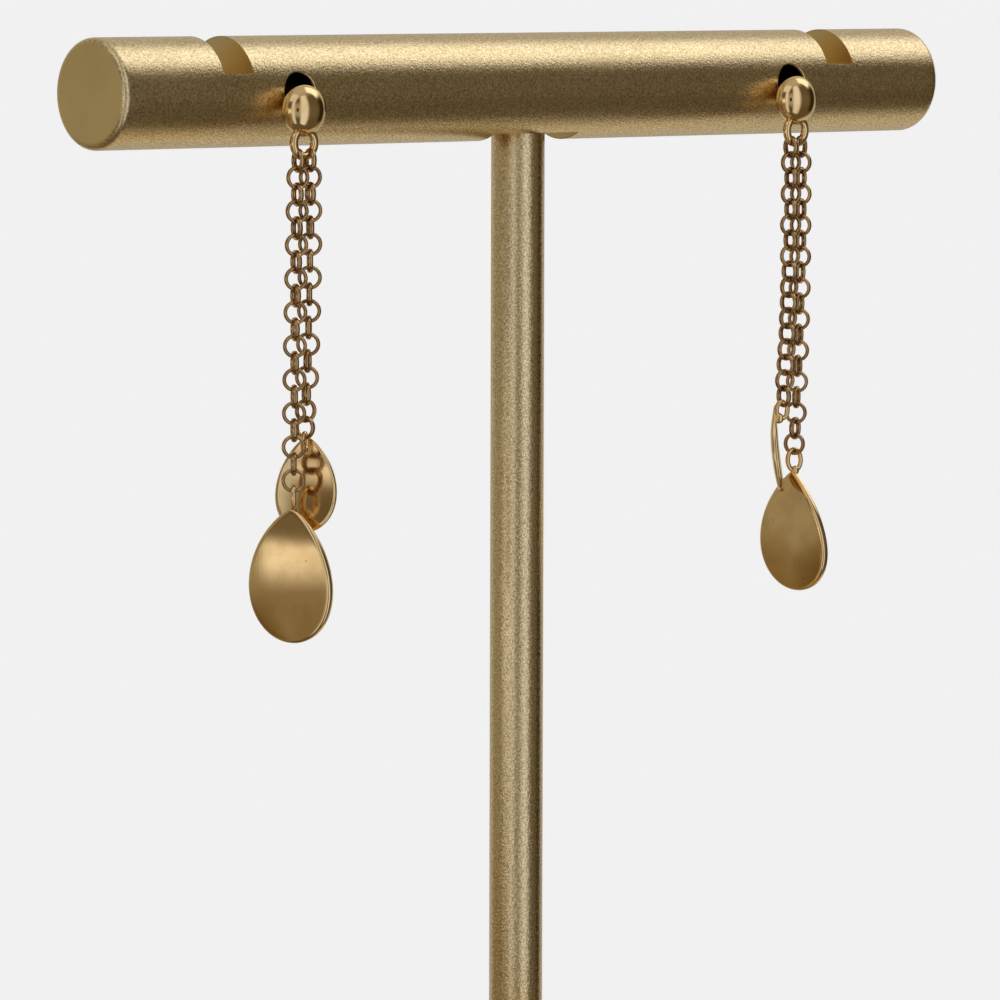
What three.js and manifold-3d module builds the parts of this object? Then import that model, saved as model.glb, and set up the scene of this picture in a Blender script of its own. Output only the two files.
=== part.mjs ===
// A pair of double-chain drop earrings on a plain T-bar display stand.
// Millimetres, +Z up. The origin is the middle of the underside of the stand's base.
// Each earring is a soldered stud, a long and a short chain, and a drop on the end of each chain.
import * as THREE from 'three';
import { mergeVertices } from 'three/addons/utils/BufferGeometryUtils.js';
import Module from 'manifold-3d';

const GAP = 0.3; // clearance kept between separate pieces

// Stand
const BAR_DIAMETER = 12;
const BAR_LENGTH = 122.3;
const BAR_HEIGHT = 124; // bar axis above the table
const BAR_CHAMFER = 0.5;
const HOLE_X = 37; // cross holes, either side of the stem
const HOLE_DIAMETER = 4;
const COUNTERSINK = 0.28; // widening of each hole where it meets the bar's outermost line
const COUNTERSINK_DEPTH = 0.55;
const SLOT_X = 45.2; // slots cut across the top of the bar
const SLOT_WIDTH = 4.2;
const SLOT_FLOOR = 2.1; // height of a slot's floor above the bar axis
const SEAT_WIDTH = 12.7; // flat milled under the bar for the stem
const SEAT_DROP = 5.13; // depth of that flat below the bar axis
const STEM_DIAMETER = 6;
const STEM_REACH = 2; // how far the stem enters the bar and the base
const BASE_DIAMETER = 66;
const BASE_THICKNESS = 8;
const BASE_CHAMFER = 1;

// Stud: an oblate bead with a ring below it and a post behind it, soldered together
const BEAD_DIAMETER = 5.4;
const BEAD_DEPTH = 3.8;
const RING_DROP = 3.55; // ring centre below bead centre
const RING_RADIUS = 1.5; // to the middle of its wire
const RING_WIRE = 0.8;
const SOLDER_WIDTH = 1.7;
const SOLDER_HEIGHT = 1;
const POST_DIAMETER = 0.8;
const POST_END = 4; // y where the post ends, inside the bar's hole
const POST_OFFSET_X = 0.35;
const POST_OFFSET_Z = 0.95;

// Chain of fine round links, built here as one tube
const LINK_WIRE = 0.44;
const CHAIN_TUBE_DIAMETER = 1.2;
const CHAIN_TUBE_SIDES = 8;

// Drops: curved teardrop plates with a wire eyelet, measured from the pivot in the eyelet
const EYELET_WIRE = 0.48;
const EYELET_TOP = (LINK_WIRE + EYELET_WIRE) / 2; // middle of its upper wire above the pivot
const LARGE_DROP = {
  width: 9.9, thickness: 1.1, rim: 0.16, bow: -0.65, dome: -0.2, apex: -1.95, setback: 0,
  eyeletHalfWidth: 0.92, eyeletHalfHeight: 1.22, eyeletSetback: 0,
};
const SMALL_DROP = {
  width: 7, thickness: 0.9, rim: 0.14, bow: 0.5, dome: 0.2, apex: 0.1, setback: 0.72,
  eyeletHalfWidth: 0.62, eyeletHalfHeight: 0.95, eyeletSetback: 0.12,
};

// Each chain's route is measured from the ring's centre and ends at its drop's pivot.
// Headings turn a piece about Z, in degrees: at 0 its face looks along -Y. A drop swings about
// the X axis of its swing heading. Its plate is turned from that, leans about the same axis and
// rolls in its own plane.
const EARS = [
  {
    side: 'left', bead: [-38.1, -7.95, -1.86],
    longChain: [[-0.85, 0, -2.2], [-1.19, 0.2, -25.4], [-1.31, 0.24, -37.35]],
    shortChain: [[0.85, 0, -2.2], [0.9, 0.6, -25.4], [0.79, 0.9, -31.75]],
    largeDrop: { swing: -40, turn: -26, length: 14.6, point: 0.42, lean: 0, roll: 0 },
    smallDrop: { swing: -60, turn: 0, length: 10.4, point: 0.5, lean: -6, roll: 0 },
  },
  {
    side: 'right', bead: [35.8, -7.95, -1.86],
    longChain: [[0.8, 0, -2.2], [0.82, 0.37, -28], [0.74, 0.76, -37.2]],
    shortChain: [[-0.8, 0, -2.2], [-1.8, -0.31, -28], [-2.27, -0.5, -31.5]],
    largeDrop: { swing: -98, turn: 12, length: 14, point: 0.68, lean: 0, roll: 2 },
    smallDrop: { swing: 45, turn: 0, length: 10, point: 0.5, lean: -5, roll: 0 },
  },
];

const satinGold = new THREE.MeshStandardMaterial({ color: 0xb9a284, roughness: 0.5, metalness: 1 });
const polishedGold = new THREE.MeshStandardMaterial({ color: 0xd9a95c, roughness: 0.15, metalness: 1 });

const wasm = await Module();
wasm.setup();

const degrees = THREE.MathUtils.degToRad;
const group = new THREE.Group();
const barPlace = new THREE.Group();
barPlace.position.z = BAR_HEIGHT;
group.add(barPlace);

// A closed solid from a geometry: shared vertices merged, triangles that a pole flattened dropped.
function toSolid(geometry) {
  const shape = geometry.clone();
  shape.deleteAttribute('normal');
  shape.deleteAttribute('uv');
  const merged = mergeVertices(shape, 1e-4);
  const corners = merged.index.array;
  const kept = [];
  for (let i = 0; i < corners.length; i += 3) {
    const [a, b, c] = corners.slice(i, i + 3);
    if (a !== b && b !== c && c !== a) kept.push(a, b, c);
  }
  return new wasm.Manifold(new wasm.Mesh({
    numProp: 3,
    vertProperties: Float32Array.from(merged.attributes.position.array),
    triVerts: Uint32Array.from(kept),
  }));
}

function toGeometry(solid) {
  const mesh = solid.getMesh();
  const geometry = new THREE.BufferGeometry();
  geometry.setAttribute('position', new THREE.BufferAttribute(mesh.vertProperties, 3));
  geometry.setIndex(new THREE.BufferAttribute(mesh.triVerts, 1));
  return geometry;
}

function addPiece(parent, name, solid, material) {
  const mesh = new THREE.Mesh(toGeometry(solid), material);
  mesh.name = name;
  parent.add(mesh);
}

// A turned solid about Z from [radius, height] points that start and end on the axis.
function turned(outline, segments) {
  const points = outline.map(([radius, height]) => new THREE.Vector2(radius, height));
  return new THREE.LatheGeometry(points, segments).rotateX(Math.PI / 2);
}

function block(width, depth, height, x, y, z) {
  return toSolid(new THREE.BoxGeometry(width, depth, height).translate(x, y, z));
}

function standBase() {
  const radius = BASE_DIAMETER / 2;
  const socket = STEM_DIAMETER / 2 + GAP;
  const floor = BASE_THICKNESS - STEM_REACH - GAP;
  return toSolid(turned([
    [0, 0], [radius - BASE_CHAMFER / 2, 0], [radius, BASE_CHAMFER / 2],
    [radius, BASE_THICKNESS - BASE_CHAMFER], [radius - BASE_CHAMFER, BASE_THICKNESS],
    [socket, BASE_THICKNESS], [socket, floor], [0, floor],
  ], 72));
}

function standStem() {
  const radius = STEM_DIAMETER / 2;
  const bottom = BASE_THICKNESS - STEM_REACH;
  const top = BAR_HEIGHT - SEAT_DROP + STEM_REACH;
  return toSolid(turned([[0, bottom], [radius, bottom], [radius, top], [0, top]], 48));
}

// The bar along X with its centre at the origin: cross holes, slots, and the stem's seat and socket.
function standBar() {
  const radius = BAR_DIAMETER / 2;
  const half = BAR_LENGTH / 2;
  const across = BAR_DIAMETER + 2;
  let bar = toSolid(turned([
    [0, -half], [radius - BAR_CHAMFER, -half], [radius, BAR_CHAMFER - half],
    [radius, half - BAR_CHAMFER], [radius - BAR_CHAMFER, half], [0, half],
  ], 72).rotateY(Math.PI / 2));
  const hole = HOLE_DIAMETER / 2;
  const flare = radius - COUNTERSINK_DEPTH;
  const mouth = hole + COUNTERSINK * (across / 2 - flare) / (radius - flare);
  const drill = turned([
    [0, -across / 2], [mouth, -across / 2], [hole, -flare],
    [hole, flare], [mouth, across / 2], [0, across / 2],
  ], 40).rotateX(Math.PI / 2);
  const slotTop = radius + 1;
  for (const side of [-1, 1]) {
    bar = bar.subtract(toSolid(drill.clone().translate(side * HOLE_X, 0, 0)));
    bar = bar.subtract(block(SLOT_WIDTH, across, slotTop - SLOT_FLOOR,
      side * SLOT_X, 0, (slotTop + SLOT_FLOOR) / 2));
  }
  bar = bar.subtract(block(SEAT_WIDTH, across, radius, 0, 0, -SEAT_DROP - radius / 2));
  const socketTop = STEM_REACH + GAP - SEAT_DROP;
  const socket = new THREE.CylinderGeometry(STEM_DIAMETER / 2 + GAP, STEM_DIAMETER / 2 + GAP, radius, 48)
    .rotateX(Math.PI / 2).translate(0, 0, socketTop - radius / 2);
  return bar.subtract(toSolid(socket));
}

// Bead, ring, solder and post in one, with the bead's centre at the origin.
function stud(bead) {
  const ball = new THREE.SphereGeometry(BEAD_DIAMETER / 2, 32, 20).rotateX(Math.PI / 2)
    .scale(1, BEAD_DEPTH / BEAD_DIAMETER, 1);
  const ring = new THREE.TorusGeometry(RING_RADIUS, RING_WIRE / 2, 10, 36)
    .rotateX(Math.PI / 2).translate(0, 0, -RING_DROP);
  const solder = new THREE.SphereGeometry(0.5, 16, 10)
    .scale(SOLDER_WIDTH, RING_WIRE, SOLDER_HEIGHT).translate(0, 0, -BEAD_DIAMETER / 2);
  const length = POST_END - bead[1];
  const post = new THREE.CylinderGeometry(POST_DIAMETER / 2, POST_DIAMETER / 2, length, 16)
    .translate(POST_OFFSET_X, length / 2, POST_OFFSET_Z);
  return toSolid(ball).add(toSolid(ring)).add(toSolid(solder)).add(toSolid(post));
}

// A chain as one tube along its route, which stops short of the drop's eyelet.
function chainTube(route) {
  const points = route.map((point) => new THREE.Vector3(...point));
  points.at(-1).z += EYELET_TOP + EYELET_WIRE / 2 + GAP;
  const path = new THREE.CatmullRomCurve3(points);
  const section = new THREE.Shape().absarc(0, 0, CHAIN_TUBE_DIAMETER / 2, 0, 2 * Math.PI);
  return toSolid(new THREE.ExtrudeGeometry(section, {
    extrudePath: path,
    curveSegments: CHAIN_TUBE_SIDES / 2,
    steps: Math.round(path.getLength() / (2.5 * CHAIN_TUBE_DIAMETER)),
  }));
}

// A curved teardrop plate, centred on the origin, facing -Y with its point up.
// It is a turned disc whose angle is carried onto the outline
//   z = half length * cos(a), x = half width * sin(a) * |sin(a / 2)|^point,
// then bent lengthwise by bow and across by dome (positive is hollow towards -Y).
function teardropPlate(drop, place) {
  const half = drop.thickness / 2;
  const inner = half - drop.rim;
  const disc = new THREE.LatheGeometry([
    [0, -half], [0.45, -half], [0.8, -half], [1 - 2 * drop.rim / drop.width, -half], [1, -inner],
    [1, inner], [1 - 2 * drop.rim / drop.width, half], [0.8, half], [0.45, half], [0, half],
  ].map(([radius, height]) => new THREE.Vector2(radius, height)), 48);
  const widest = Math.acos(-place.point / (2 + place.point));
  const fullest = Math.sin(widest) * Math.sin(widest / 2) ** place.point;
  const places = disc.attributes.position;
  for (let i = 0; i < places.count; i += 1) {
    const radius = Math.hypot(places.getX(i), places.getZ(i));
    const angle = Math.atan2(places.getX(i), places.getZ(i));
    const across = radius * Math.sin(angle) * Math.abs(Math.sin(angle / 2)) ** place.point / fullest;
    const along = radius * Math.cos(angle);
    const bend = drop.bow * (1 - along ** 2) + drop.dome * (1 - across ** 2);
    places.setXYZ(i, across * drop.width / 2, places.getY(i) + bend, along * place.length / 2);
  }
  return disc;
}

// Middle of the volume of a closed solid.
function centreOfMass(solid) {
  const { vertProperties, triVerts } = solid.getMesh();
  const corner = (i) => new THREE.Vector3().fromArray(vertProperties, 3 * triVerts[i]);
  const sum = new THREE.Vector3();
  let volume = 0;
  for (let i = 0; i < triVerts.length; i += 3) {
    const [a, b, c] = [corner(i), corner(i + 1), corner(i + 2)];
    const part = a.dot(new THREE.Vector3().crossVectors(b, c)) / 6;
    sum.addScaledVector(a.add(b).add(c), part / 4);
    volume += part;
  }
  return sum.divideScalar(volume);
}

// A drop with its pivot at the origin: the middle of the lower wire of the chain's last link.
// The eyelet stands across the plate, in the plane that the drop swings in.
function hangingDrop(drop, place) {
  const eyelet = new THREE.TorusGeometry(1, EYELET_WIRE / 2, 8, 32).rotateY(Math.PI / 2);
  const wire = eyelet.attributes.position;
  for (let i = 0; i < wire.count; i += 1) {
    const angle = Math.atan2(wire.getZ(i), wire.getY(i));
    const outward = Math.hypot(wire.getY(i), wire.getZ(i)) - 1;
    wire.setY(i, (drop.eyeletHalfWidth + outward) * Math.cos(angle));
    wire.setZ(i, (drop.eyeletHalfHeight + outward) * Math.sin(angle));
  }
  eyelet.translate(0, drop.eyeletSetback, EYELET_TOP - drop.eyeletHalfHeight);
  const plate = teardropPlate(drop, place)
    .translate(0, 0, -place.length / 2)
    .rotateY(degrees(place.roll))
    .rotateX(degrees(place.lean))
    .translate(0, drop.setback, drop.apex)
    .rotateZ(degrees(place.turn));
  const solder = new THREE.SphereGeometry(EYELET_WIRE, 12, 8)
    .translate(0, drop.eyeletSetback, EYELET_TOP - 2 * drop.eyeletHalfHeight);
  return toSolid(plate).add(toSolid(eyelet)).add(toSolid(solder));
}

// The drop swung about its pivot until its centre of mass hangs below it.
function swingToRest(solid) {
  const centre = centreOfMass(solid);
  return solid.rotate([THREE.MathUtils.radToDeg(Math.atan2(-centre.y, -centre.z)), 0, 0]);
}

function addDrop(ring, name, solid, place, route) {
  const hanger = new THREE.Group();
  hanger.position.set(...route.at(-1));
  hanger.rotation.z = degrees(place.swing);
  addPiece(hanger, name, solid, polishedGold);
  ring.add(hanger);
}

function addEar({ side, bead, longChain, shortChain, largeDrop, smallDrop }) {
  const beadPlace = new THREE.Group();
  beadPlace.position.set(...bead);
  addPiece(beadPlace, `${side}_stud`, stud(bead), polishedGold);
  const ring = new THREE.Group();
  ring.position.z = -RING_DROP;
  addPiece(ring, `${side}_long_chain`, chainTube(longChain), polishedGold);
  addPiece(ring, `${side}_short_chain`, chainTube(shortChain), polishedGold);
  const hangingLarge = swingToRest(hangingDrop(LARGE_DROP, largeDrop));
  addDrop(ring, `${side}_large_drop`, hangingLarge, largeDrop, longChain);
  addDrop(ring, `${side}_small_drop`, hangingDrop(SMALL_DROP, smallDrop), smallDrop, shortChain);
  beadPlace.add(ring);
  barPlace.add(beadPlace);
}

addPiece(group, 'stand_base', standBase(), satinGold);
addPiece(group, 'stand_stem', standStem(), satinGold);
addPiece(barPlace, 'stand_bar', standBar(), satinGold);
EARS.forEach(addEar);

export default group;
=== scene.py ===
"""Looks for a pair of double-chain drop earrings on a plain T-bar display stand."""
import math

import bmesh
import bpy
import numpy as np
from mathutils import Matrix, Vector


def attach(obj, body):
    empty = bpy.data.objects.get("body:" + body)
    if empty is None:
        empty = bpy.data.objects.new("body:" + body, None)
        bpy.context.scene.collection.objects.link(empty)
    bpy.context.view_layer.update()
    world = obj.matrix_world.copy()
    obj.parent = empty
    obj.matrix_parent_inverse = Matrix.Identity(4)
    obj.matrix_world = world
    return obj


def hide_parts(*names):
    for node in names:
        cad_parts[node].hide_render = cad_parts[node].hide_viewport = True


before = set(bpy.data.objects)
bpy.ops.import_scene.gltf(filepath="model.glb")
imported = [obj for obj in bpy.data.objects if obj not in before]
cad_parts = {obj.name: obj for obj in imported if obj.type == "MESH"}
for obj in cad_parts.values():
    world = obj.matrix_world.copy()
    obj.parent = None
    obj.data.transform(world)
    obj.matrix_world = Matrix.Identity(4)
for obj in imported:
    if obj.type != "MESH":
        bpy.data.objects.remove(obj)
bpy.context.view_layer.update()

MM = 0.001
MERGE_DISTANCE, LEAST_EDGE = 2e-7, 1e-8  # metres
HAIR = 1e-6  # allowance where places or angles are compared

# Stand, in millimetres. The bar's own axis is its local X.
BAR_RADIUS, BAR_LENGTH, BAR_HEIGHT, BAR_EDGE = 6, 122.3, 124, 0.95
HOLE_X, HOLE_RADIUS, HOLE_MOUTH, HOLE_MOUTH_DEPTH = 37, 2, 0.28, 0.55
HOLE_PATCH, HOLE_PATCH_ANGLE, HOLE_PATCH_ROWS = 3.2, 36, 15
SLOT_X, SLOT_WIDTH, SLOT_FLOOR = 45.2, 4.2, 2.1
SEAT_WIDTH, SEAT_DROP = 12.7, 5.13
STEM_RADIUS, BASE_RADIUS, BASE_THICKNESS, BASE_EDGE = 3, 33, 8, 1
STEM_ROUNDING, BASE_ROUNDING = 0.01, 0.25
FOOT_IN, FOOT_UP = 0.3, 0.5  # the slope at the base's lower edge
CUT_WALL = 0.001  # a slot's or seat's wall stands between two rows this far apart
TOUCH = 0.02  # the stem's ends stop this far inside its neighbours

# Stud
BEAD_RADIUS, BEAD_HALF_DEPTH = 2.7, 1.9
RING_DROP, RING_RADIUS, RING_WIRE = 3.55, 1.43, 0.94
SOLDER_HALF, SOLDER_DROP = (1.1, 0.47, 0.42), 2.5
POST_RADIUS, POST_END, POST_OFFSET, POST_ROUNDING = 0.4, 4, (0.35, 0.95), 0.15

# Chain links and eyelets
LINK_RADIUS, LINK_WIRE, LINK_BREADTH = 1.115, 0.42, 0.62
FIRST_LINK_DROP = 1.86
TURN_SPREAD, LEAN_SPREAD = 1.5, 1.2  # degrees
EYELET_WIRE = 0.54
EYELET_TOP = 0.46  # middle of its upper wire above the pivot
TIP_START = 0.35  # share of the half length where a plate starts to thin

LARGE = dict(width=9.9, thickness=0.95, rim=0.34, tip=0.45, bow=-0.65, dome=-0.36, apex=-1.95, setback=0,
             eyelet=(0.92, 1.22), eyelet_setback=0, solder=(0.5, 0.5, 0.55), solder_setback=0)
SMALL = dict(width=7, thickness=0.72, rim=0.3, tip=0.4, bow=0.5, dome=0.2, apex=0.1, setback=0.72,
             eyelet=(0.62, 0.95), eyelet_setback=0.12, solder=(0.42, 0.6, 0.62), solder_setback=0.5)

# Routes are from the ring's centre to the drop's pivot. A chain's twist, in degrees, is given at
# shares of its length. Sight is the heading that every second link faces.
EARS = (
    dict(side="left", bead=(-38.1, -7.95, -1.86), sight=-40,
         long=dict(route=((-0.85, 0, -2.2), (-1.19, 0.2, -25.4), (-1.31, 0.24, -37.35)), links=20,
                   twist=((0, 25), (1, 0))),
         short=dict(route=((0.85, 0, -2.2), (0.9, 0.6, -25.4), (0.79, 0.9, -31.75)), links=17,
                    twist=((0, 22), (0.35, 2), (0.8, -11), (1, 50))),
         large=dict(swing=-40, turn=-26, length=14.6, point=0.42, lean=0, roll=0),
         small=dict(swing=-60, turn=0, length=10.4, point=0.5, lean=-6, roll=0)),
    dict(side="right", bead=(35.8, -7.95, -1.86), sight=-44.5,
         long=dict(route=((0.8, 0, -2.2), (0.82, 0.37, -28), (0.74, 0.76, -37.2)), links=20,
                   twist=((0, -25), (0.85, -11), (1, -25))),
         short=dict(route=((-0.8, 0, -2.2), (-1.8, -0.31, -28), (-2.27, -0.5, -31.5)), links=17,
                    twist=((0, 32), (0.3, 25), (0.55, 41), (0.85, 47), (1, 28))),
         large=dict(swing=-98, turn=12, length=14, point=0.68, lean=0, roll=2),
         small=dict(swing=45, turn=0, length=10, point=0.5, lean=-5, roll=0)),
)

# Camera, in millimetres and degrees; the heading is from +X towards +Y.
CAMERA_PLACE = (-494.4, -546.3, 141.1)
CAMERA_HEADING, CAMERA_PITCH, CAMERA_ROLL = 48.003, -4.93, 0.149
CAMERA_LENS, SENSOR_WIDTH = 236.69, 36


# ---------------------------------------------------------------- surfaces

def grid_faces(rows, columns, close_rows=False, close_columns=True):
    """Quads between the points of a grid that is stored row by row."""
    i, j = np.meshgrid(np.arange(rows if close_rows else rows - 1),
                       np.arange(columns if close_columns else columns - 1), indexing="ij")
    below, beside = (i + 1) % rows, (j + 1) % columns
    corners = (i * columns + j, i * columns + beside, below * columns + beside, below * columns + j)
    return np.stack(corners, -1).reshape(-1, 4)


def grid_shell(points, close_rows=False, close_columns=True):
    """A shell, points and quads, from an array of rows by columns by three."""
    rows, columns = points.shape[:2]
    return points.reshape(-1, 3), grid_faces(rows, columns, close_rows, close_columns)


def rounded(corners, radius, steps=6):
    """A profile whose inner corners are each replaced by a parabola that leaves and meets the two
    sides at the given distance from the corner."""
    p = np.asarray(corners, float)
    back, ahead = p[:-2] - p[1:-1], p[2:] - p[1:-1]
    start = p[1:-1] + back / np.linalg.norm(back, axis=1, keepdims=True) * radius
    end = p[1:-1] + ahead / np.linalg.norm(ahead, axis=1, keepdims=True) * radius
    t = np.linspace(0, 1, steps)[None, :, None]
    arcs = (1 - t) ** 2 * start[:, None] + 2 * t * (1 - t) * p[1:-1, None] + t ** 2 * end[:, None]
    return np.vstack([p[:1], arcs.reshape(-1, 2), p[-1:]])


def turned(profile, segments=160):
    """A profile of radius and height carried round Z: (r cos a, r sin a, h)."""
    a = np.linspace(0, 2 * np.pi, segments, endpoint=False)
    r, h = np.asarray(profile).T
    return grid_shell(np.stack([r[:, None] * np.cos(a), r[:, None] * np.sin(a),
                                np.broadcast_to(h[:, None], (len(r), segments))], -1))


def ellipsoid(half_sizes, centre, rows=40, columns=72):
    """Half sizes times a unit sphere of latitude and longitude, moved to the centre."""
    u = np.linspace(0, np.pi, rows)[:, None]
    v = np.linspace(0, 2 * np.pi, columns, endpoint=False)[None]
    unit = np.stack([np.sin(u) * np.cos(v), np.cos(u) + 0 * v, np.sin(u) * np.sin(v)], -1)
    return grid_shell(unit * np.asarray(half_sizes, float) + np.asarray(centre, float))


def wire_loop(half_width, half_height, wire, along=64, around=16, breadth=None):
    """An ellipse in the local Y-Z plane with a wire section that stays square to it. The section is
    round, or an ellipse where a breadth across that plane is given."""
    u = np.linspace(0, 2 * np.pi, along, endpoint=False)[:, None]
    v = np.linspace(0, 2 * np.pi, around, endpoint=False)[None]
    normal = np.stack([0 * u, half_height * np.cos(u), half_width * np.sin(u)], -1)
    normal = normal / np.linalg.norm(normal, axis=-1, keepdims=True)
    line = np.stack([0 * u, half_width * np.cos(u), half_height * np.sin(u)], -1)
    side = np.array([(breadth or wire) / 2, 0, 0])
    return line + wire / 2 * np.cos(v)[..., None] * normal + np.sin(v)[..., None] * side


def turn(axis, angle):
    """Rotation matrix about an axis letter by degrees."""
    return np.array(Matrix.Rotation(math.radians(angle), 3, axis))


def moved(shell, matrix=np.eye(3), offset=(0, 0, 0)):
    """A shell turned by a matrix, then moved by an offset."""
    points, faces = shell
    return points @ matrix.T + np.asarray(offset, float), faces


# ---------------------------------------------------------------- pieces

def make_piece(name, shells, material, slot, body, *nodes, sharp=35):
    """One mesh from millimetre shells: seams and poles merged, faces turned outwards, smooth up to
    the sharp angle. It stands for the given CAD nodes and rides on the body."""
    counts = np.cumsum([0] + [len(points) for points, _ in shells[:-1]])
    points = np.vstack([points for points, _ in shells]) * MM
    faces = np.vstack([quads + start for (_, quads), start in zip(shells, counts)])
    mesh = bpy.data.meshes.new(name)
    mesh.vertices.add(len(points))
    mesh.vertices.foreach_set("co", points.astype(np.float32).ravel())
    mesh.loops.add(faces.size)
    mesh.loops.foreach_set("vertex_index", faces.ravel().astype(np.int32))
    mesh.polygons.add(len(faces))
    mesh.polygons.foreach_set("loop_start", np.arange(0, faces.size, 4, dtype=np.int32))
    mesh.update(calc_edges=True)
    work = bmesh.new()
    work.from_mesh(mesh)
    bmesh.ops.remove_doubles(work, verts=work.verts, dist=MERGE_DISTANCE)
    bmesh.ops.dissolve_degenerate(work, dist=LEAST_EDGE, edges=work.edges)
    bmesh.ops.recalc_face_normals(work, faces=work.faces)
    work.to_mesh(mesh)
    work.free()
    mesh.shade_smooth()
    mesh.set_sharp_from_angle(angle=math.radians(sharp))
    mesh.materials.append(material)
    piece = bpy.data.objects.new(name, mesh)
    bpy.context.scene.collection.objects.link(piece)
    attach(piece, body)
    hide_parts(*nodes)


def bar_angles():
    """Angles round the bar from its front, with a line on every edge of a slot, seat and hole patch,
    and the back a mirror of the front."""
    slot = math.degrees(math.asin(SLOT_FLOOR / BAR_RADIUS))
    seat = math.degrees(math.asin(SEAT_DROP / BAR_RADIUS))
    stretches = ((0, slot, 12), (slot, HOLE_PATCH_ANGLE, 9), (HOLE_PATCH_ANGLE, 90, 30))
    above = np.concatenate([np.linspace(a, b, n, endpoint=False) for a, b, n in stretches] + [[90]])
    stretches = ((0, slot, 12), (slot, HOLE_PATCH_ANGLE, 9), (HOLE_PATCH_ANGLE, seat, 14), (seat, 90, 18))
    below = np.concatenate([np.linspace(a, b, n, endpoint=False) for a, b, n in stretches] + [[90]])
    turnwise = [above, 180 - above[-2::-1], 180 + below[1:], 360 - below[-2:0:-1]]
    return np.radians(np.concatenate(turnwise))


def bar_stations():
    """Rows along the bar: place, radius limit, and the height of the flat that cuts it, if any."""
    half, radius = BAR_LENGTH / 2, BAR_RADIUS
    end = rounded([(-half, 0), (-half, radius), (BAR_EDGE * 3 - half, radius)], BAR_EDGE, 12)
    rows = [(x, r, 0) for x, r in end]
    slot, seat = (SLOT_WIDTH / 2, SLOT_FLOOR), (SEAT_WIDTH / 2, -SEAT_DROP)
    for centre, (reach, floor) in ((-SLOT_X, slot), (SLOT_X, slot), (0, seat)):
        rows += [(centre + x, radius, flat) for x, flat in
                 ((-reach - CUT_WALL, 0), (-reach, floor), (reach, floor), (reach + CUT_WALL, 0))]
    patch = np.linspace(-HOLE_PATCH, HOLE_PATCH, HOLE_PATCH_ROWS)
    rows += [(centre + x, radius, 0) for centre in (-HOLE_X, HOLE_X) for x in patch]
    rows += [(-x, r, 0) for x, r in end[::-1]]
    order = np.argsort([row[0] for row in rows], kind="stable")
    return np.array(rows, float)[order]


def bar_shells():
    """The bar's skin is radius min(limit, flat / sin(angle)) over place and angle, left open where
    the cross holes pass. Each hole is a sleeve from the front opening's border to its round mouth,
    through the bar, and out to the back opening's border."""
    angles, rows = bar_angles(), bar_stations()
    x, limit, flat = rows.T
    with np.errstate(divide="ignore"):
        reach = flat[:, None] / np.sin(angles)
    cut = (flat[:, None] != 0) & (reach > 0)
    radius = np.where(cut, np.minimum(limit[:, None], np.where(cut, reach, np.inf)), limit[:, None])
    skin = np.stack([np.broadcast_to(x[:, None], radius.shape), -radius * np.cos(angles),
                     radius * np.sin(angles)], -1)
    quads = grid_faces(*radius.shape)
    middle = skin.reshape(-1, 3)[quads].mean(1)
    near_hole = np.abs(np.abs(middle[:, 0]) - HOLE_X) < HOLE_PATCH
    side_on = np.abs(middle[:, 2]) < BAR_RADIUS * math.sin(math.radians(HOLE_PATCH_ANGLE)) - HAIR
    shells = [(skin.reshape(-1, 3), quads[~(near_hole & side_on)])]
    return shells + [hole_sleeve(side * HOLE_X, x, angles) for side in (-1, 1)]


def hole_sleeve(centre, places, angles):
    """Columns start at each point of the opening's border. Going in, the radius falls in straight
    lines to the round mouth, narrows along its flare, stays constant through the bar, and opens
    again in the same way at the back. The flat rows crowd towards the mouth."""
    flat_rows, flare_rows, crowding = 12, 8, 1.6
    xs = np.unique(places[np.abs(places - centre) <= HOLE_PATCH + HAIR]) - centre
    signed = (angles + np.pi) % (2 * np.pi) - np.pi
    limit = math.radians(HOLE_PATCH_ANGLE) + HAIR
    zs = BAR_RADIUS * np.sin(np.sort(signed[np.abs(signed) <= limit]))
    border = np.vstack([
        np.column_stack([xs[:-1], np.full(len(xs) - 1, zs[0])]),
        np.column_stack([np.full(len(zs) - 1, xs[-1]), zs[:-1]]),
        np.column_stack([xs[:0:-1], np.full(len(xs) - 1, zs[-1])]),
        np.column_stack([np.full(len(zs) - 1, xs[0]), zs[:0:-1]])])
    toward = border / np.linalg.norm(border, axis=1, keepdims=True)
    mouth = HOLE_RADIUS + HOLE_MOUTH
    t = np.linspace(1, 0, flat_rows)[:, None, None] ** crowding
    flat_part = toward * mouth + t * (border - toward * mouth)
    s = np.linspace(0, 1, flare_rows)[1:, None]
    flare = toward[None] * (HOLE_RADIUS + HOLE_MOUTH * (1 - np.sin(s * np.pi / 2)))[..., None]
    plan = np.concatenate([flat_part, flare])
    sinking = HOLE_MOUTH_DEPTH * (1 - np.cos(s[:, 0] * np.pi / 2))
    depth = np.concatenate([np.zeros(flat_rows), sinking])
    outer = np.sqrt(BAR_RADIUS ** 2 - plan[..., 1] ** 2) - depth[:, None]
    front = np.stack([plan[..., 0] + centre, -outer, plan[..., 1]], -1)
    back = front * [1, -1, 1]
    return grid_shell(np.concatenate([front, back[::-1]]))


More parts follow.
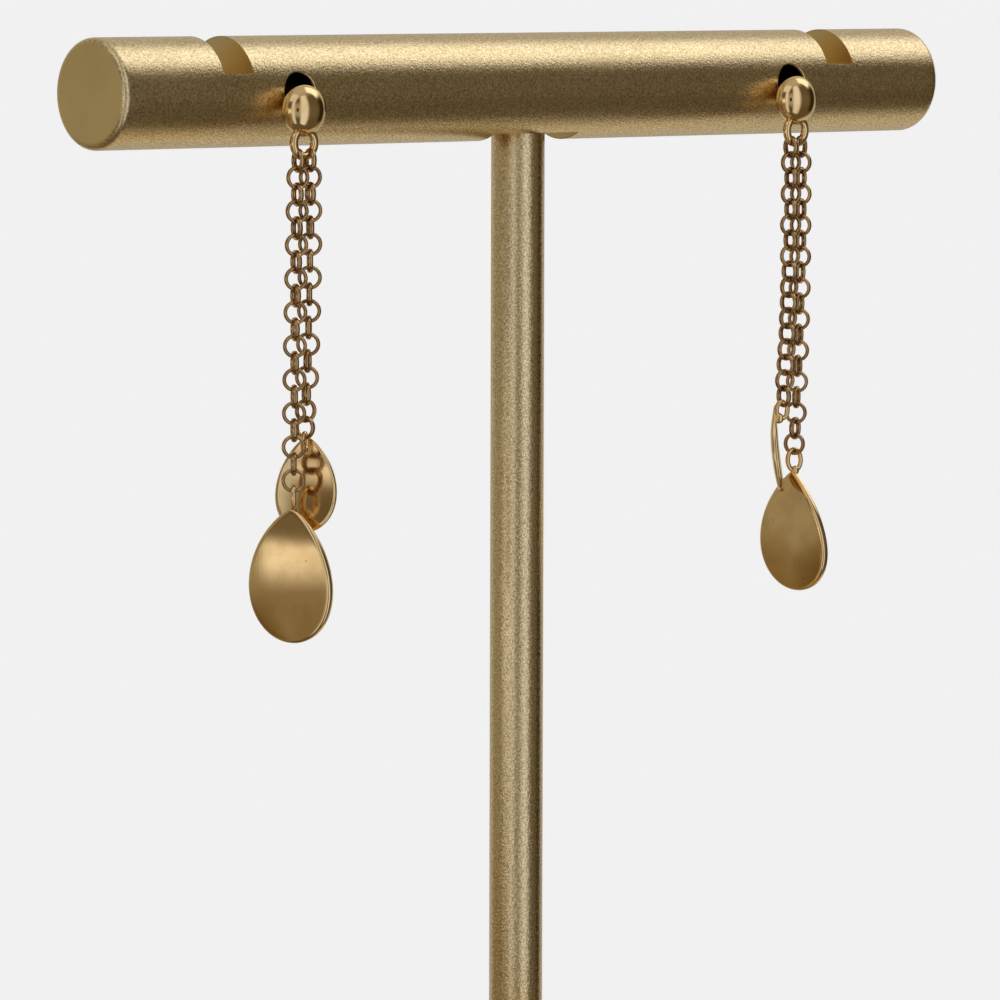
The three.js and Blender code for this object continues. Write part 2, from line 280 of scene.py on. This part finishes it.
def add_stand(bar_satin, satin):
    """The bar lies on the stem by its seat, and the stem stands in the middle of the base."""
    bar = [moved(shell, offset=(0, 0, BAR_HEIGHT)) for shell in bar_shells()]
    make_piece("bar", bar, bar_satin, "satin_stand", "stand", "stand_bar", sharp=25)
    low, high = BASE_THICKNESS - TOUCH, BAR_HEIGHT - SEAT_DROP + TOUCH
    stem = [(0, low), (STEM_RADIUS, low), (STEM_RADIUS, high), (0, high)]
    stem = turned(rounded(stem, STEM_ROUNDING, 3), 128)
    make_piece("stem", [stem], satin, "satin_stand", "stand", "stand_stem")
    base = [(0, 0), (BASE_RADIUS - FOOT_IN, 0), (BASE_RADIUS, FOOT_UP),
            (BASE_RADIUS, BASE_THICKNESS - BASE_EDGE), (BASE_RADIUS - BASE_EDGE, BASE_THICKNESS),
            (0, BASE_THICKNESS)]
    base = turned(rounded(base, BASE_ROUNDING, 6), 256)
    make_piece("base", [base], satin, "satin_stand", "stand", "stand_base")


def stud_shells():
    """Bead, ring and solder about the bead's centre."""
    bead = ellipsoid((BEAD_RADIUS, BEAD_HALF_DEPTH, BEAD_RADIUS), (0, 0, 0), 56, 96)
    loop = wire_loop(RING_RADIUS, RING_RADIUS, RING_WIRE)
    ring = moved(grid_shell(loop, close_rows=True), turn("Z", 90), (0, 0, -RING_DROP))
    solder = ellipsoid(SOLDER_HALF, (0, 0, -SOLDER_DROP))
    return [bead, ring, solder]


def post_shell(bead):
    """A round rod from inside the bead into the bar's hole, about the bead's centre."""
    length = POST_END - bead[1]
    profile = [(0, 0), (POST_RADIUS, 0), (POST_RADIUS, length), (0, length)]
    post = turned(rounded(profile, POST_ROUNDING, 5), 32)
    return moved(post, turn("X", -90), (POST_OFFSET[0], 0, POST_OFFSET[1]))


def route_points(route, count):
    """Link centres spaced evenly in height on the parabola through the route's three points."""
    p = np.asarray(route, float)
    heights = np.linspace(-FIRST_LINK_DROP, p[2, 2] + LINK_RADIUS, count)
    x = np.polyval(np.polyfit(p[:, 2], p[:, 0], 2), heights)
    y = np.polyval(np.polyfit(p[:, 2], p[:, 1], 2), heights)
    return np.column_stack([x, y, heights])


def chain_shell(chain, sight, seed):
    """Round links of oval wire, each a copy of one loop turned about its own upright line. Every
    second link faces the sight heading, the others stand across it, and the twist adds to both.
    Each link also turns and leans by a small angle of its own."""
    centres = route_points(chain["route"], chain["links"])
    share = np.linspace(0, 1, chain["links"])
    stops, turns = np.array(chain["twist"], float).T
    draw = np.random.default_rng(seed)
    heading = sight + np.where(np.arange(chain["links"]) % 2 == 0, 0, 90)
    twisted = heading + np.interp(share, stops, turns)
    heading = np.radians(twisted + draw.normal(0, TURN_SPREAD, len(share)))
    lean = np.radians(draw.normal(0, LEAN_SPREAD, len(share)))
    loop = wire_loop(LINK_RADIUS, LINK_RADIUS, LINK_WIRE, 36, 12, LINK_BREADTH)
    rows, columns = loop.shape[:2]
    flat = loop.reshape(-1, 3)
    tipped = np.stack([flat[:, 0] * np.ones((len(share), 1)),
                       flat[:, 1] * np.cos(lean)[:, None] - flat[:, 2] * np.sin(lean)[:, None],
                       flat[:, 1] * np.sin(lean)[:, None] + flat[:, 2] * np.cos(lean)[:, None]], -1)
    c, s = np.cos(heading)[:, None], np.sin(heading)[:, None]
    points = np.stack([tipped[..., 0] * c - tipped[..., 1] * s,
                       tipped[..., 0] * s + tipped[..., 1] * c, tipped[..., 2]], -1)
    points += centres[:, None]
    faces = grid_faces(rows, columns, close_rows=True)
    starts = (np.arange(len(share)) * rows * columns)[:, None, None]
    return points.reshape(-1, 3), (faces[None] + starts).reshape(-1, 4)


def plate_shell(drop, place, columns=192):
    """A disc of radius s and angle a carried onto the outline
    z = half length * s cos a, x = half width * s sin a * |sin(a / 2)|^point / its greatest value,
    bent lengthwise by bow and across by dome. Its section is flat with round rims, and it thins
    smoothly towards the point, down to the tip's share of its thickness."""
    half, rim = drop["thickness"] / 2, drop["rim"]
    turn_in = np.linspace(0, np.pi / 2, 7)
    inner = 1 - 2 * rim / drop["width"]
    face = np.linspace(0, inner, 22, endpoint=False)
    s = np.concatenate([face, inner + (1 - inner) * np.sin(turn_in)])
    y = np.concatenate([np.full(len(face), -half), -half + rim * (1 - np.cos(turn_in))])
    s, y = np.concatenate([s, s[::-1]])[:, None], np.concatenate([y, -y[::-1]])[:, None]
    a = np.linspace(0, 2 * np.pi, columns, endpoint=False)[None]
    point = place["point"]
    widest = math.acos(-point / (2 + point))
    fullest = math.sin(widest) * math.sin(widest / 2) ** point
    across = s * np.sin(a) * np.abs(np.sin(a / 2)) ** point / fullest
    along = s * np.cos(a)
    bend = drop["bow"] * (1 - along ** 2) + drop["dome"] * (1 - across ** 2)
    to_tip = np.clip((along - TIP_START) / (1 - TIP_START), 0, 1)
    thin = 1 - (1 - drop["tip"]) * to_tip ** 2 * (3 - 2 * to_tip)
    points = [across * drop["width"] / 2, y * thin + bend, along * place["length"] / 2]
    return grid_shell(np.stack(points, -1))


def shells_centre(shells):
    """Middle of the volume of closed shells, from signed tetrahedra on the origin."""
    volumes, sums = [], []
    for points, quads in shells:
        corners = points[np.vstack([quads[:, [0, 1, 2]], quads[:, [0, 2, 3]]])]
        parts = np.einsum("ij,ij->i", corners[:, 0], np.cross(corners[:, 1], corners[:, 2])) / 6
        sign = np.sign(parts.sum())
        volumes.append(sign * parts.sum())
        sums.append(sign * (parts[:, None] * corners.sum(1) / 4).sum(0))
    return np.sum(sums, 0) / np.sum(volumes)


def drop_shells(drop, place, hangs):
    """Plate, eyelet and solder about the pivot. A drop that hangs by itself is swung until the
    middle of its volume is under the pivot."""
    half_width, half_height = drop["eyelet"]
    plate = moved(plate_shell(drop, place), offset=(0, 0, -place["length"] / 2))
    plate = moved(plate, turn("X", place["lean"]) @ turn("Y", place["roll"]),
                  (0, drop["setback"], drop["apex"]))
    plate = moved(plate, turn("Z", place["turn"]))
    loop = grid_shell(wire_loop(half_width, half_height, EYELET_WIRE), close_rows=True)
    loop = moved(loop, offset=(0, drop["eyelet_setback"], EYELET_TOP - half_height))
    solder = ellipsoid(drop["solder"], (0, drop["solder_setback"], EYELET_TOP - 2 * half_height), 20, 32)
    shells = [plate, loop, solder]
    if hangs:
        centre = shells_centre(shells)
        swing = math.degrees(math.atan2(-centre[1], -centre[2]))
        shells = [moved(shell, turn("X", swing)) for shell in shells]
    return shells


def add_ear(ear, polished, chain_gold, number):
    """One earring: its stud, and a chain and a drop for each of its two lengths."""
    side = ear["side"]
    bead = np.array(ear["bead"], float) + (0, 0, BAR_HEIGHT)
    ring = bead - (0, 0, RING_DROP)
    stud = [moved(shell, offset=bead) for shell in stud_shells() + [post_shell(ear["bead"])]]
    make_piece(f"{side}_bead_stud", stud, polished, "polished_gold", "stand", f"{side}_stud")
    for index, (chain, drop, size) in enumerate((("long", LARGE, "large"), ("short", SMALL, "small"))):
        links = moved(chain_shell(ear[chain], ear["sight"], 10 * number + index), offset=ring)
        make_piece(f"{side}_{chain}_links", [links], chain_gold, "polished_gold", "stand",
                   f"{side}_{chain}_chain", sharp=180)
        place = ear[size]
        pivot = ring + ear[chain]["route"][2]
        shells = [moved(shell, turn("Z", place["swing"]), pivot)
                  for shell in drop_shells(drop, place, hangs=size == "large")]
        make_piece(f"{side}_{size}_plate", shells, polished, "polished_gold", f"{side}_{size}",
                   f"{side}_{size}_drop", sharp=50)


# ---------------------------------------------------------------- materials

# Tones are the deeper and the brighter one, roughness is the least and the most
SATIN_TONES, SATIN_ROUGHNESS = ((0.5, 0.38, 0.19), (0.95, 0.76, 0.47)), (0.23, 0.29)
MACHINED_TONES = (0.66, 0.5, 0.25), (0.81, 0.62, 0.32)
POLISHED_TONES, POLISHED_ROUGHNESS = ((0.76, 0.53, 0.25), (0.86, 0.62, 0.32)), (0.07, 0.15)
CHAIN_TONES, CHAIN_ROUGHNESS = ((0.33, 0.195, 0.083), (0.52, 0.335, 0.16)), (0.1, 0.18)
# The first colour is painted shade for the inside of the cross holes; the second is dirt in specks
BORE_PAINTED_SHADE, SPECK_BROWN = (0.035, 0.025, 0.015), (0.25, 0.13, 0.04)
GRAIN_DEPTH, POLISHED_DEPTH, CHAIN_DEPTH = 2.9e-5, 1.2e-6, 1.5e-6  # metres of bump
GRAINS_PER_METRE, CLOUDING_PER_METRE, SPECKS_PER_METRE = 4300.0, 70.0, 2600.0

# Millimetres over which the bar's finishes meet, below its skin and before its end faces, and the
# painted bore shade fades, outside its bores. Cuts are looked for up to the last distance from an end.
SKIN_MEETING, END_MEETING, BORE_MEETING = (0.1, 0.03), (0.1, 0.02), (0.02, 0.14)
CLEAR_OF_END = 2

def new_group(name, inputs, outputs):
    """An empty shader node group with named sockets; inputs give name, kind and default."""
    group = bpy.data.node_groups.new(name, "ShaderNodeTree")
    for label, kind, value in inputs:
        socket = group.interface.new_socket(name=label, in_out="INPUT", socket_type=kind)
        if value is not None:
            socket.default_value = value
    for label, kind in outputs:
        group.interface.new_socket(name=label, in_out="OUTPUT", socket_type=kind)
    return group, group.nodes.new("NodeGroupInput"), group.nodes.new("NodeGroupOutput")


def calculate(tree, operation, *values):
    """A Math node fed by sockets or numbers."""
    node = tree.nodes.new("ShaderNodeMath")
    node.operation = operation
    feed(tree, node, values)
    return node.outputs[0]


def vector_dot(tree, first, second):
    """A Vector Math node's dot product."""
    node = tree.nodes.new("ShaderNodeVectorMath")
    node.operation = "DOT_PRODUCT"
    feed(tree, node, (first, second))
    return node.outputs["Value"]


def give(tree, socket, value):
    """Link a socket to another one, or set its number, vector or colour."""
    if isinstance(value, bpy.types.NodeSocket):
        tree.links.new(value, socket)
    else:
        socket.default_value = (*value, 1) if socket.type == "RGBA" else value


def feed(tree, node, values):
    """Sockets or values for a node's inputs, in their order."""
    for socket, value in zip(node.inputs, values):
        give(tree, socket, value)


def ranged(tree, value, low, high, to_low, to_high, smooth=False):
    """A Map Range node, clamped."""
    node = tree.nodes.new("ShaderNodeMapRange")
    node.interpolation_type = "SMOOTHSTEP" if smooth else "LINEAR"
    for label, number in (("Value", value), ("From Min", low), ("From Max", high),
                          ("To Min", to_low), ("To Max", to_high)):
        give(tree, node.inputs[label], number)
    return node.outputs["Result"]


def noise(tree, vector, scale, detail=2.0):
    """A Noise Texture node's value over a vector."""
    node = tree.nodes.new("ShaderNodeTexNoise")
    node.inputs["Detail"].default_value = detail
    tree.links.new(vector, node.inputs["Vector"])
    give(tree, node.inputs["Scale"], scale)
    return node.outputs["Fac"]


def blasted_grain_group():
    """Tiny pits of bead blasting, as a height and a tone, over slow clouding of the finish."""
    group, inside, outside = new_group(
        "Blasted Grain",
        [("Vector", "NodeSocketVector", None),
         ("Grains per Metre", "NodeSocketFloat", GRAINS_PER_METRE),
         ("Clouding per Metre", "NodeSocketFloat", CLOUDING_PER_METRE)],
        [("Height", "NodeSocketFloat"), ("Tone", "NodeSocketFloat"), ("Clouding", "NodeSocketFloat")])
    pits = noise(group, inside.outputs["Vector"], inside.outputs["Grains per Metre"], 1.5)
    finer = noise(group, inside.outputs["Vector"],
                  calculate(group, "MULTIPLY", inside.outputs["Grains per Metre"], 2.3), 0.0)
    height = calculate(group, "ADD", pits, calculate(group, "MULTIPLY", finer, 0.35))
    group.links.new(height, outside.inputs["Height"])
    group.links.new(ranged(group, pits, 0.3, 0.7, 0.0, 1.0), outside.inputs["Tone"])
    cloud = noise(group, inside.outputs["Vector"], inside.outputs["Clouding per Metre"], 3.0)
    group.links.new(ranged(group, cloud, 0.3, 0.7, 0.0, 1.0), outside.inputs["Clouding"])
    return group


def handling_group():
    """Marks of use on polished metal: fine crossing hairlines, rare specks, and smudges."""
    group, inside, outside = new_group(
        "Handling Marks",
        [("Vector", "NodeSocketVector", None), ("Hairlines per Metre", "NodeSocketFloat", 2500.0),
         ("Smudges per Metre", "NodeSocketFloat", 350.0)],
        [("Hairlines", "NodeSocketFloat"), ("Smudge", "NodeSocketFloat"), ("Specks", "NodeSocketFloat")])
    vector = inside.outputs["Vector"]
    lines = []
    for turned_by in (0.35, 1.9):
        place = group.nodes.new("ShaderNodeMapping")
        place.inputs["Rotation"].default_value = (turned_by, turned_by * 0.6, turned_by)
        place.inputs["Scale"].default_value = (1.0, 1.0, 0.04)
        group.links.new(vector, place.inputs["Vector"])
        lines.append(noise(group, place.outputs["Vector"], inside.outputs["Hairlines per Metre"], 1.0))
    crossed = calculate(group, "MAXIMUM", *lines)
    group.links.new(ranged(group, crossed, 0.55, 0.75, 0.0, 1.0), outside.inputs["Hairlines"])
    smudge = noise(group, vector, inside.outputs["Smudges per Metre"], 3.0)
    group.links.new(ranged(group, smudge, 0.35, 0.7, 0.0, 1.0, True), outside.inputs["Smudge"])
    specks = noise(group, vector, SPECKS_PER_METRE, 0.0)
    group.links.new(ranged(group, specks, 0.84, 0.9, 0.0, 0.7), outside.inputs["Specks"])
    return group


def start_material(name):
    """A metallic material, with its tree, its shader and the place it is seen at."""
    material = bpy.data.materials.new(name)
    material.use_nodes = True
    tree = material.node_tree
    shader = tree.nodes["Principled BSDF"]
    shader.inputs["Metallic"].default_value = 1.0
    place = tree.nodes.new("ShaderNodeTexCoord").outputs["Object"]
    return material, tree, shader, place


def placed(tree, group, values):
    """The outputs of a new node of a group, given sockets or values for its named inputs."""
    node = tree.nodes.new("ShaderNodeGroup")
    node.node_tree = group
    for label, value in values.items():
        give(tree, node.inputs[label], value)
    return node.outputs


def two_tone(tree, factor, first, second):
    """A colour mixed from two, each a colour or a socket, by a factor socket."""
    node = tree.nodes.new("ShaderNodeMix")
    node.data_type = "RGBA"
    for label, value in (("Factor", factor), ("A", first), ("B", second)):
        give(tree, node.inputs[label], value)
    return node.outputs["Result"]


def dented(tree, shader, height, depth):
    """A Bump node with the depth in metres, fed to the shader's normal."""
    bump = tree.nodes.new("ShaderNodeBump")
    bump.inputs["Strength"].default_value = 1.0
    bump.inputs["Distance"].default_value = depth
    tree.links.new(height, bump.inputs["Height"])
    tree.links.new(bump.outputs["Normal"], shader.inputs["Normal"])


def bar_areas_group():
    """Where the bar is machined and not blasted, from place: inside its round skin and on its end
    faces. The bore mask is what lies within the cross holes, where dark colour is painted as shade."""
    group, inside, outside = new_group(
        "Bar Areas", [("Vector", "NodeSocketVector", None)],
        [("Machined", "NodeSocketFloat"), ("Bore Shade", "NodeSocketFloat")])
    axes = group.nodes.new("ShaderNodeSeparateXYZ")
    group.links.new(inside.outputs["Vector"], axes.inputs[0])
    x = calculate(group, "ABSOLUTE", axes.outputs["X"])
    up = calculate(group, "SUBTRACT", axes.outputs["Z"], BAR_HEIGHT * MM)

    def length(first, second):
        squares = [calculate(group, "MULTIPLY", value, value) for value in (first, second)]
        return calculate(group, "SQRT", calculate(group, "ADD", *squares))

    def between(place, face, depths, begin, end):
        return ranged(group, place, (face + depths[0]) * MM, (face + depths[1]) * MM, begin, end)

    radius = length(axes.outputs["Y"], up)
    inner = between(radius, BAR_RADIUS, [-depth for depth in SKIN_MEETING], 1.0, 0.0)
    ends = between(x, BAR_LENGTH / 2, [-depth for depth in END_MEETING], 0.0, 1.0)
    clear_of_end = calculate(group, "LESS_THAN", x, (BAR_LENGTH / 2 - CLEAR_OF_END) * MM)
    cuts = calculate(group, "MULTIPLY", inner, clear_of_end)
    group.links.new(calculate(group, "MAXIMUM", cuts, ends), outside.inputs["Machined"])
    from_hole = length(calculate(group, "SUBTRACT", x, HOLE_X * MM), up)
    # Mask for painted shade: full inside the hole's radius, fading out just beyond it
    bore = between(from_hole, HOLE_RADIUS, BORE_MEETING, 1.0, 0.0)
    group.links.new(bore, outside.inputs["Bore Shade"])
    return group


def satin_stand_material(grain, areas=None):
    """Champagne gold with a bead-blasted satin face. With areas, machined faces are smoother and
    yellower, and the bores get painted shade, a dark colour inside the cross holes."""
    material, tree, shader, place = start_material("satin bar" if areas else "satin stand")
    marks = placed(tree, grain, {"Vector": place})
    colour = two_tone(tree, marks["Tone"], *SATIN_TONES)
    roughness = ranged(tree, marks["Clouding"], 0, 1, *SATIN_ROUGHNESS)
    height = marks["Height"]
    if areas:
        where = placed(tree, areas, {"Vector": place})
        machined = two_tone(tree, marks["Clouding"], *MACHINED_TONES)
        colour = two_tone(tree, where["Machined"], colour, machined)
        # Painted shade: the colour inside the cross holes is darkened as if in shadow
        colour = two_tone(tree, where["Bore Shade"], colour, BORE_PAINTED_SHADE)
        calm = calculate(tree, "SUBTRACT", 1.0, calculate(tree, "MULTIPLY", where["Machined"], 0.9))
        height = calculate(tree, "MULTIPLY", height, calm)
    tree.links.new(colour, shader.inputs["Base Color"])
    tree.links.new(roughness, shader.inputs["Roughness"])
    dented(tree, shader, height, GRAIN_DEPTH)
    return material


def polished_gold_material(name, handling, tones, roughness, depth):
    """Polished yellow gold with hairlines, smudges and a few dark specks."""
    material, tree, shader, place = start_material(name)
    marks = placed(tree, handling, {"Vector": place})
    deep, bright = tones
    tone = two_tone(tree, marks["Smudge"], bright, deep)
    tree.links.new(two_tone(tree, marks["Specks"], tone, SPECK_BROWN), shader.inputs["Base Color"])
    tree.links.new(ranged(tree, marks["Smudge"], 0, 1, *roughness), shader.inputs["Roughness"])
    dented(tree, shader, marks["Hairlines"], depth)
    return material


# ---------------------------------------------------------------- studio

LEAST_AHEAD, FULL_AHEAD = 0.02, 0.1  # cosines between which a softbox comes in


def softbox_group():
    """A rectangle of light in the directions near Toward, with soft edges. Sizes are tangents."""
    group, inside, outside = new_group(
        "Softbox",
        [("Direction", "NodeSocketVector", None), ("Toward", "NodeSocketVector", None),
         ("Across", "NodeSocketVector", None), ("Upward", "NodeSocketVector", None),
         ("Half Width", "NodeSocketFloat", 0.3), ("Half Height", "NodeSocketFloat", 0.3),
         ("Edge", "NodeSocketFloat", 0.08)],
        [("Mask", "NodeSocketFloat")])
    ahead = vector_dot(group, inside.outputs["Direction"], inside.outputs["Toward"])
    depth = calculate(group, "MAXIMUM", ahead, LEAST_AHEAD)
    mask = ranged(group, ahead, LEAST_AHEAD, FULL_AHEAD, 0.0, 1.0)
    for side, size in (("Across", "Half Width"), ("Upward", "Half Height")):
        offset = vector_dot(group, inside.outputs["Direction"], inside.outputs[side])
        reach = calculate(group, "DIVIDE", offset, depth)
        over = calculate(group, "SUBTRACT", calculate(group, "ABSOLUTE", reach), inside.outputs[size])
        soft = calculate(group, "DIVIDE", over, inside.outputs["Edge"])
        mask = calculate(group, "MULTIPLY", mask, ranged(group, soft, -1.0, 1.0, 1.0, 0.0, True))
    group.links.new(mask, outside.inputs["Mask"])
    return group


def studio_direction(side_angle, elevation):
    """Unit vector from the object, side angle counted from the camera towards its right."""
    heading = math.radians(CAMERA_HEADING + 180 + side_angle)
    lift = math.radians(elevation)
    return Vector((math.cos(heading) * math.cos(lift), math.sin(heading) * math.cos(lift), math.sin(lift)))


# Softboxes and two dark panels, each over those before it: side angle and elevation of the
# middle, half width and height in degrees, edge, colour
SOFTBOXES = (
    ("left bank", -46, -4, 15, 8, 0.09, (1.02, 1.0, 0.97)),
    ("far left strip", -70, 16, 7, 16, 0.08, (0.32, 0.31, 0.28)),
    ("upper left", -36, 52, 24, 16, 0.12, (0.8, 0.8, 0.77)),
    ("left strip", -20, 0, 11, 58, 0.12, (0.76, 0.79, 0.84)),
    ("right strip", 38, 0, 17, 55, 0.16, (0.85, 0.88, 0.95)),
    ("overhead", 122, 48, 19, 19, 0.12, (1.46, 1.47, 1.46)),
    ("lens", 7, 1, 6, 7, 0.03, (0.03, 0.02, 0.012)),
    ("dark screen", 114, -2, 14, 24, 0.12, (0.03, 0.022, 0.012)),
)
DARK, PALE = (0.128, 0.105, 0.067), (0.883, 0.883, 0.883)  # the room, and past the floor's edge
# Tones of the room: side angle, elevation, cosines where each begins and is full, and colour
TONES = (
    (-90, 0, 0.35, 0.95, (0.35, 0.32, 0.24)),
    (180, 0, 0.35, 0.7, (0.52, 0.49, 0.42)),
    (0, 90, 0.6, 0.95, (0.5, 0.48, 0.44)),
    (148, -46, 0.89, 0.985, (0.6, 0.55, 0.44)),
    (5, 0, 0.82, 0.98, (0.4, 0.385, 0.35)),
    (76, -4, 0.91, 0.99, (0.155, 0.129, 0.084)),
    (-48, -32, 0.86, 0.97, (0.27, 0.22, 0.14)),
    (-52, 26, 0.9, 0.98, (0.15, 0.115, 0.065)),
    (-106, -36, 0.86, 0.98, (0.23, 0.165, 0.08)),
    (-74, -30, 0.95, 0.995, (0.16, 0.11, 0.045)),
)


def add_world():
    """The room as fixed directions: a dark start, then each tone and each softbox over it."""
    world = bpy.data.worlds.new("soft studio")
    bpy.context.scene.world = world
    world.use_nodes = True
    tree = world.node_tree
    background = tree.nodes["Background"]
    direction = tree.nodes.new("ShaderNodeTexCoord").outputs["Generated"]
    group = softbox_group()
    total = DARK
    for side_angle, elevation, low, high, tone in TONES:
        nearness = vector_dot(tree, direction, studio_direction(side_angle, elevation))
        share = ranged(tree, nearness, low, high, 0.0, 1.0, True)
        total = two_tone(tree, share, total, tone)
    for _, side_angle, elevation, width, height, edge, colour in SOFTBOXES:
        toward = studio_direction(side_angle, elevation)
        across = toward.cross(Vector((0, 0, 1))).normalized()
        box = placed(tree, group, {
            "Direction": direction, "Toward": toward, "Across": across,
            "Upward": across.cross(toward), "Edge": edge,
            "Half Width": math.tan(math.radians(width)),
            "Half Height": math.tan(math.radians(height))})
        total = two_tone(tree, box["Mask"], total, colour)
    # Past the floor's edge the camera sees one pale tone
    seen = tree.nodes.new("ShaderNodeLightPath").outputs["Is Camera Ray"]
    total = two_tone(tree, seen, total, PALE)
    tree.links.new(total, background.inputs["Color"])


FLOOR_GLOW = 0.462
FLOOR_HALF, FLOOR_GAP = 60.0, 0.05  # metres, millimetres


def add_floor():
    """A wide pale floor: matt, with an even glow, and clear from below. It lies a hair under the
    base, and the metal mirrors the room and not the floor."""
    corners = np.array([(-1, -1), (1, -1), (1, 1), (-1, 1)]) * FLOOR_HALF
    corners = np.column_stack([corners, np.full(len(corners), -FLOOR_GAP * MM)])
    mesh = bpy.data.meshes.new("floor")
    mesh.from_pydata(corners.tolist(), [], [(0, 1, 2, 3)])
    floor = bpy.data.objects.new("floor", mesh)
    floor.visible_glossy = False
    bpy.context.scene.collection.objects.link(floor)
    material = bpy.data.materials.new("pale floor")
    material.use_nodes = True
    shader = material.node_tree.nodes["Principled BSDF"]
    shader.inputs["Base Color"].default_value = (0.8, 0.8, 0.8, 1)
    shader.inputs["Roughness"].default_value = 1.0
    shader.inputs["Specular IOR Level"].default_value = 0.0
    shader.inputs["Emission Color"].default_value = (0.92, 0.935, 1, 1)
    shader.inputs["Emission Strength"].default_value = FLOOR_GLOW
    tree = material.node_tree
    underside = tree.nodes.new("ShaderNodeNewGeometry").outputs["Backfacing"]
    tree.links.new(calculate(tree, "SUBTRACT", 1.0, underside), shader.inputs["Alpha"])
    mesh.materials.append(material)


def add_camera():
    """The camera from its place, heading, pitch and roll."""
    data = bpy.data.cameras.new("camera")
    data.lens, data.sensor_width = CAMERA_LENS, SENSOR_WIDTH
    data.clip_start, data.clip_end = 0.01, 200
    camera = bpy.data.objects.new("camera", data)
    bpy.context.scene.collection.objects.link(camera)
    heading, pitch = math.radians(CAMERA_HEADING), math.radians(CAMERA_PITCH)
    level_reach = math.cos(pitch)
    ahead = Vector((math.cos(heading) * level_reach, math.sin(heading) * level_reach, math.sin(pitch)))
    level = ahead.cross(Vector((0, 0, 1))).normalized()
    above = level.cross(ahead)
    roll = math.radians(CAMERA_ROLL)
    across = level * math.cos(roll) + above * math.sin(roll)
    upright = across.cross(ahead)
    turned_to = Matrix((across, upright, -ahead)).transposed()
    camera.matrix_world = Matrix.Translation(Vector(CAMERA_PLACE) * MM) @ turned_to.to_4x4()
    bpy.context.scene.camera = camera


# ---------------------------------------------------------------- making

bpy.context.scene.view_settings.view_transform = "Standard"
add_camera()
add_world()
add_floor()

grain = blasted_grain_group()
marks_of_use = handling_group()
polished = polished_gold_material("polished gold", marks_of_use, POLISHED_TONES,
                                  POLISHED_ROUGHNESS, POLISHED_DEPTH)
chain_gold = polished_gold_material("chain gold", marks_of_use, CHAIN_TONES, CHAIN_ROUGHNESS,
                                    CHAIN_DEPTH)
add_stand(satin_stand_material(grain, bar_areas_group()), satin_stand_material(grain))
for ear_number, ear_values in enumerate(EARS, 1):
    add_ear(ear_values, polished, chain_gold, ear_number)
